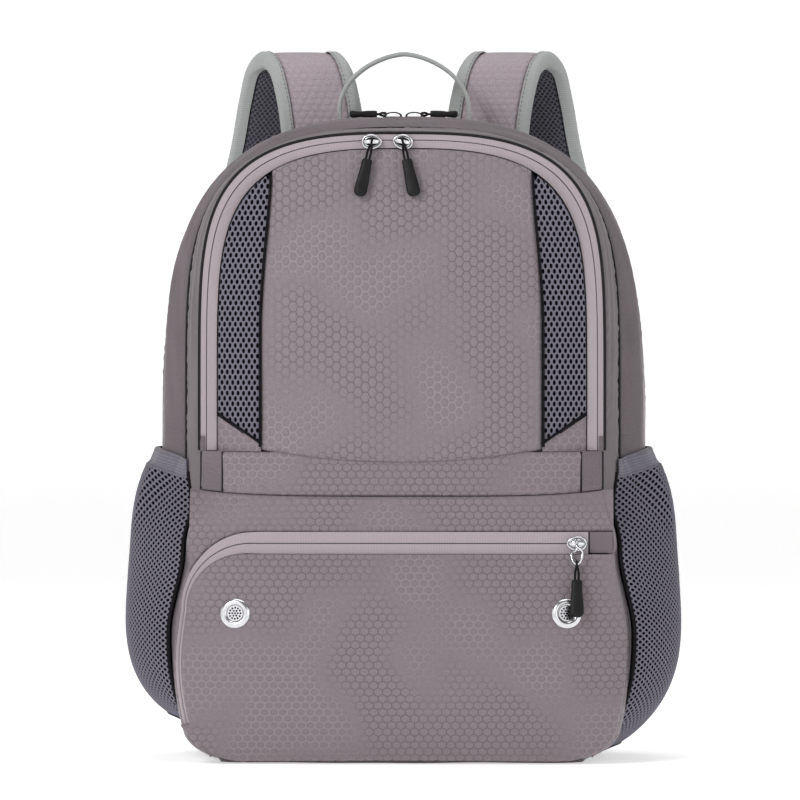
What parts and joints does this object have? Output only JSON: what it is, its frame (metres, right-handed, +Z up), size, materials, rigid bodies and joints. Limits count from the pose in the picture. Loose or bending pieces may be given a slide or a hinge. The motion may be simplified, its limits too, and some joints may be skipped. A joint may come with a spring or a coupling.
{
  "type": "daypack",
  "caption": "Soft daypack with an opening front half, a zipped front pocket, a zipped shoe pocket, mesh side pockets, padded shoulder straps and a grab handle.",
  "frame": {"origin": "centre of the bounding box on the plane that the base rests on", "axes": "+X to the viewer's right seen from the front, -Y is the front, +Y the wearer's back, +Z up"},
  "size_m": [0.3908, 0.242, 0.4975],
  "materials": {
    "shell_fabric": "honeycomb ripstop polyester, slight sheen",
    "side_fabric": "plain woven polyester, matt",
    "net_fabric": "open spacer net, matt",
    "elastic_fabric": "ribbed elastic binding, matt",
    "zip_fabric": "woven zip tape, matt",
    "strap_fabric": "ripstop polyester over foam",
    "binding_fabric": "woven webbing and binding tape, matt",
    "foam": "closed-cell foam sheet",
    "zip_metal": "bright nickel plate",
    "pull_rubber": "moulded soft rubber and cord, satin",
    "buckle_plastic": "moulded acetal, satin",
    "black_metal": "black lacquered zinc, satin"
  },
  "bodies": {
    "root": {"back_panel": "net_fabric", "back_lining": "side_fabric", "back_foam": "foam", "rear_gusset": "shell_fabric", "main_zip_tape_rear": "zip_fabric", "base_panel": "side_fabric", "partition_lower": "side_fabric", "pocket_floor": "side_fabric", "front_yoke": "shell_fabric", "front_band": "shell_fabric", "shoe_zip_tape_upper": "zip_fabric", "shoe_zip_end_patch": "side_fabric", "strap_yoke": "shell_fabric", "side_panel_left": "side_fabric", "side_panel_right": "side_fabric", "zip_end_patch_left": "side_fabric", "zip_end_patch_right": "side_fabric", "mesh_pocket_left": "net_fabric", "mesh_pocket_right": "net_fabric", "elastic_binding_left": "elastic_fabric", "elastic_binding_right": "elastic_fabric", "webbing_left": "binding_fabric", "webbing_right": "binding_fabric", "anchor_tab_left": "side_fabric", "anchor_tab_right": "side_fabric"},
    "front_half": {"front_gusset": "side_fabric", "main_zip_tape_front": "zip_fabric", "partition_upper": "side_fabric", "pocket_gusset": "side_fabric", "pocket_zip_tape_outer": "zip_fabric"},
    "front_lid": {"centre_panel": "shell_fabric", "pocket_zip_tape_inner": "zip_fabric", "mesh_panel_left": "net_fabric", "mesh_panel_right": "net_fabric"},
    "shoe_lid": {"shoe_panel": "shell_fabric", "shoe_zip_tape_lower": "zip_fabric", "eyelet_left": "zip_metal", "eyelet_right": "zip_metal", "eyelet_screen_left": "zip_metal", "eyelet_screen_right": "zip_metal"},
    "shoe_slider_body": {"shoe_slider": "zip_metal"},
    "shoe_bail_body": {"shoe_pull_bail": "zip_metal"},
    "shoe_pull_body": {"shoe_pull_cord": "pull_rubber", "shoe_pull_grip": "pull_rubber"},
    "handle_body": {"grab_handle": "binding_fabric"},
    "pocket_slider_left_body": {"pocket_slider_left": "zip_metal"},
    "pocket_pull_left_body": {"pocket_pull_cord_left": "pull_rubber", "pocket_pull_grip_left": "pull_rubber"},
    "main_slider_left_body": {"main_slider_left": "black_metal"},
    "main_pull_left_body": {"main_pull_left": "pull_rubber"},
    "strap_left_body": {"shoulder_strap_left": "strap_fabric"},
    "ladder_lock_left_body": {"ladder_lock_left": "buckle_plastic"},
    "pocket_slider_right_body": {"pocket_slider_right": "zip_metal"},
    "pocket_pull_right_body": {"pocket_pull_cord_right": "pull_rubber", "pocket_pull_grip_right": "pull_rubber"},
    "main_slider_right_body": {"main_slider_right": "black_metal"},
    "main_pull_right_body": {"main_pull_right": "pull_rubber"},
    "strap_right_body": {"shoulder_strap_right": "strap_fabric"},
    "ladder_lock_right_body": {"ladder_lock_right": "buckle_plastic"}
  },
  "joints": [
    {"name": "front_half_fold", "type": "hinge", "parent": "root", "child": "front_half", "pos_m": [0, -0.0865, 0.215], "axis": [1, 0, 0], "range_deg": [0, 35]},
    {"name": "front_lid_fold", "type": "hinge", "parent": "front_half", "child": "front_lid", "pos_m": [0, -0.0865, 0.2155], "axis": [1, 0, 0], "range_deg": [0, 45]},
    {"name": "shoe_lid_fold", "type": "hinge", "parent": "root", "child": "shoe_lid", "pos_m": [0, -0.0845, 0.003], "axis": [1, 0, 0], "range_deg": [0, 50]},
    {"name": "shoe_slider_travel", "type": "slide", "parent": "shoe_lid", "child": "shoe_slider_body", "axis": [-1, 0, 0], "range_m": [0, 0.2]},
    {"name": "shoe_bail_lift", "type": "hinge", "parent": "shoe_slider_body", "child": "shoe_bail_body", "pos_m": [0.122, -0.1, 0.154], "axis": [-1, 0, 0], "range_deg": [0, 90]},
    {"name": "shoe_pull_swing", "type": "hinge", "parent": "shoe_bail_body", "child": "shoe_pull_body", "pos_m": [0.122, -0.1053, 0.1403], "axis": [-1, 0, 0], "range_deg": [0, 80]},
    {"name": "handle_fold", "type": "hinge", "parent": "root", "child": "handle_body", "pos_m": [0, 0.044, 0.4538], "axis": [1, 0, 0], "range_deg": [-20, 20]},
    {"name": "pocket_slider_left_travel", "type": "slide", "parent": "front_lid", "child": "pocket_slider_left_body", "axis": [-0.9978, 0, -0.067], "range_m": [0, 0.03]},
    {"name": "pocket_pull_left_lift", "type": "hinge", "parent": "pocket_slider_left_body", "child": "pocket_pull_left_body", "pos_m": [-0.021, -0.072, 0.4333], "axis": [-1, 0, 0], "range_deg": [0, 100]},
    {"name": "main_slider_left_travel", "type": "slide", "parent": "front_half", "child": "main_slider_left_body", "axis": [-0.9998, 0, -0.02], "range_m": [0, 0.03]},
    {"name": "main_pull_left_lift", "type": "hinge", "parent": "main_slider_left_body", "child": "main_pull_left_body", "pos_m": [-0.0137, 0.015, 0.4538], "axis": [0, 1, 0], "range_deg": [0, 90]},
    {"name": "strap_left_swing", "type": "hinge", "parent": "root", "child": "strap_left_body", "pos_m": [-0.057, 0.079, 0.4145], "axis": [1, 0, 0], "range_deg": [-4, 5]},
    {"name": "ladder_lock_left_tilt", "type": "hinge", "parent": "strap_left_body", "child": "ladder_lock_left_body", "pos_m": [-0.138, 0.1, 0.1758], "axis": [1, 0, 0], "range_deg": [0, 45]},
    {"name": "pocket_slider_right_travel", "type": "slide", "parent": "front_lid", "child": "pocket_slider_right_body", "axis": [0.9998, 0, -0.02], "range_m": [0, 0.03]},
    {"name": "pocket_pull_right_lift", "type": "hinge", "parent": "pocket_slider_right_body", "child": "pocket_pull_right_body", "pos_m": [0.0007, -0.072, 0.4333], "axis": [-1, 0, 0], "range_deg": [0, 100]},
    {"name": "main_slider_right_travel", "type": "slide", "parent": "front_half", "child": "main_slider_right_body", "axis": [0.9998, 0, -0.02], "range_m": [0, 0.03]},
    {"name": "main_pull_right_lift", "type": "hinge", "parent": "main_slider_right_body", "child": "main_pull_right_body", "pos_m": [0.0137, 0.015, 0.4538], "axis": [0, -1, 0], "range_deg": [0, 90]},
    {"name": "strap_right_swing", "type": "hinge", "parent": "root", "child": "strap_right_body", "pos_m": [0.057, 0.079, 0.4145], "axis": [1, 0, 0], "range_deg": [-4, 5]},
    {"name": "ladder_lock_right_tilt", "type": "hinge", "parent": "strap_right_body", "child": "ladder_lock_right_body", "pos_m": [0.138, 0.1, 0.1758], "axis": [1, 0, 0], "range_deg": [0, 45]}
  ]
}
